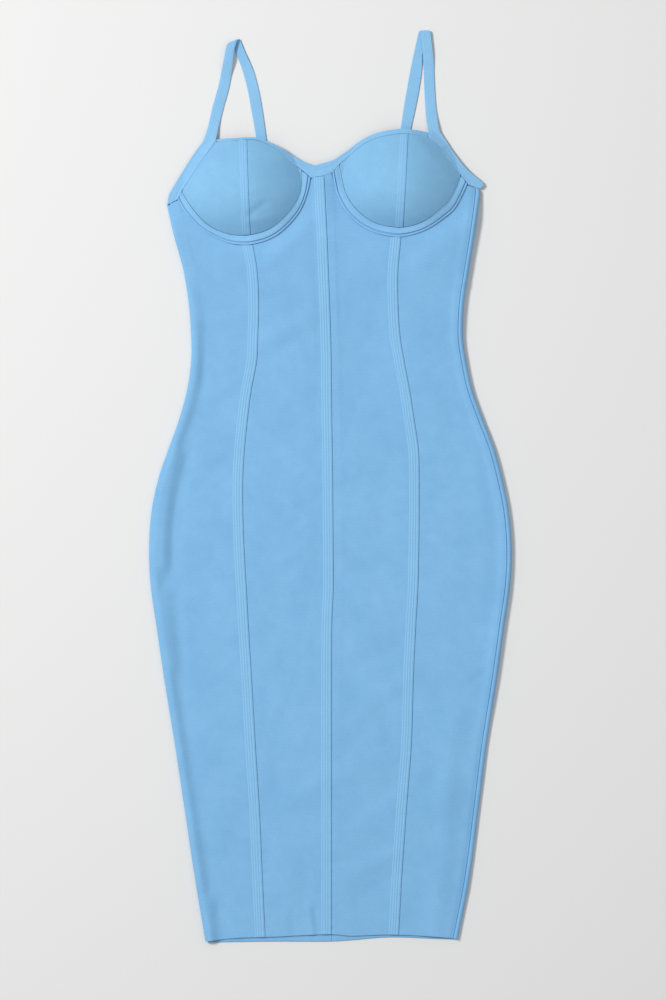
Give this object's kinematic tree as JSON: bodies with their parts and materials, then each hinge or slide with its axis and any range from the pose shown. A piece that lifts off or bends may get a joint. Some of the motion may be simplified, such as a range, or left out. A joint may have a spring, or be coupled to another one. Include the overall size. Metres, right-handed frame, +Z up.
{
  "type": "bodycon dress laid flat",
  "caption": "Sleeveless midi dress in a pale blue ribbed bandage knit, with moulded wired cups, a sweetheart neck, seam tapes and narrow straps, laid flat on its back.",
  "frame": {"origin": "centre of the dress's outline, on the surface that it lies on", "axes": "+Y from the hem to the straps, +X to the right seen from above with the straps away from the viewer, +Z up from the surface"},
  "size_m": [0.435, 1.094, 0.0434],
  "materials": {
    "body_knit": "fine ribbed bandage knit, matte with a soft sheen",
    "cup_knit": "bandage knit moulded smooth over a pad",
    "tape_knit": "flat knit tape with lines of stitching along it",
    "band_knit": "knit binding folded double, edge-stitched",
    "strap_knit": "flat knit strap"
  },
  "bodies": {
    "root": {"back_left": "body_knit", "back_right": "body_knit", "front_side_left": "body_knit", "front_centre_left": "body_knit", "front_centre_right": "body_knit", "front_side_right": "body_knit", "cup_left_outer": "cup_knit", "cup_left_inner": "cup_knit", "cup_right_inner": "cup_knit", "cup_right_outer": "cup_knit", "princess_tape_left": "tape_knit", "centre_tape": "tape_knit", "princess_tape_right": "tape_knit", "cup_tape_left": "tape_knit", "cup_tape_right": "tape_knit", "casing_left": "band_knit", "casing_right": "band_knit", "neck_band": "band_knit", "back_band": "band_knit", "armhole_band_left": "band_knit", "armhole_band_right": "band_knit", "strap_left": "strap_knit", "strap_right": "strap_knit"}
  },
  "joints": []
}
